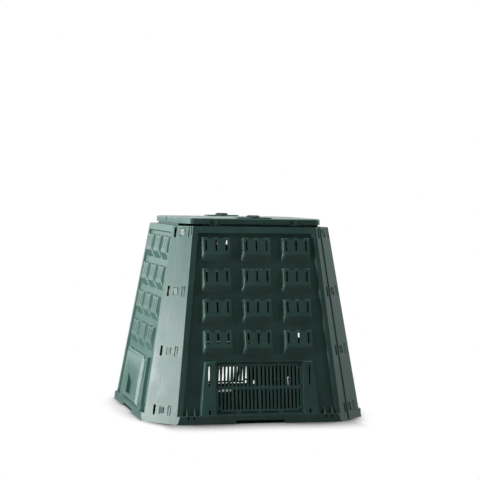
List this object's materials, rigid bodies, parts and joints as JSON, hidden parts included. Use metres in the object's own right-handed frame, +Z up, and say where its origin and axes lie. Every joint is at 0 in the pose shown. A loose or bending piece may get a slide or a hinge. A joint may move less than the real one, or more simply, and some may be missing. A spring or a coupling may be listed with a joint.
{
  "type": "compost bin",
  "caption": "Free-standing four-sided garden compost bin with leaning louvred walls, vent grilles, bottom hatches and a flat lid in two folding leaves.",
  "frame": {"origin": "on the ground, under the middle of the bin", "axes": "+Z up, front grille faces -Y, the two hatches face -X and +X"},
  "size_m": [1.1388, 1.134, 1.0163],
  "materials": {
    "green_plastic": "fine moulded texture",
    "dark_plastic": "satin moulded",
    "rod_steel": "drawn, zinc plated",
    "screw_steel": "stainless"
  },
  "bodies": {
    "bin": {"wall_front": "green_plastic", "wall_right": "green_plastic", "wall_back": "green_plastic", "wall_left": "green_plastic", "vent_grille_front": "green_plastic", "vent_grille_back": "green_plastic", "hatch_pins_right": "dark_plastic", "hatch_pins_left": "dark_plastic", "lid_bar": "green_plastic", "hinge_rod_front": "rod_steel", "hinge_rod_back": "rod_steel"},
    "lid_front": {"lid_leaf_front": "green_plastic", "handle_plate_front": "green_plastic", "lid_clips_front": "green_plastic"},
    "lid_back": {"lid_leaf_back": "green_plastic", "handle_plate_back": "green_plastic", "lid_clips_back": "green_plastic"},
    "lock_front": {"lock_knob_front": "dark_plastic", "lock_cam_front": "dark_plastic", "knob_screw_front": "screw_steel"},
    "lock_back": {"lock_knob_back": "dark_plastic", "lock_cam_back": "dark_plastic", "knob_screw_back": "screw_steel"},
    "hatch_left": {"hatch_door_left": "green_plastic"},
    "hatch_right": {"hatch_door_right": "green_plastic"}
  },
  "joints": [
    {"name": "lid_front_hinge", "type": "hinge", "parent": "bin", "child": "lid_front", "pos_m": [0, -0.01, 0.996], "axis": [-1, 0, 0], "range_deg": [0, 85]},
    {"name": "lid_back_hinge", "type": "hinge", "parent": "bin", "child": "lid_back", "pos_m": [0, 0.01, 0.996], "axis": [1, 0, 0], "range_deg": [0, 85]},
    {"name": "lock_front_turn", "type": "hinge", "parent": "lid_front", "child": "lock_front", "pos_m": [0, -0.345, 0.99], "axis": [0, 0, -1], "range_deg": [0, 90]},
    {"name": "lock_back_turn", "type": "hinge", "parent": "lid_back", "child": "lock_back", "pos_m": [0, 0.345, 0.99], "axis": [0, 0, -1], "range_deg": [0, 90]},
    {"name": "hatch_left_hinge", "type": "hinge", "parent": "bin", "child": "hatch_left", "pos_m": [-0.51714, 0, 0.28896], "axis": [0, 1, 0], "range_deg": [0, 110]},
    {"name": "hatch_right_hinge", "type": "hinge", "parent": "bin", "child": "hatch_right", "pos_m": [0.51714, 0, 0.28896], "axis": [0, -1, 0], "range_deg": [0, 110]}
  ]
}
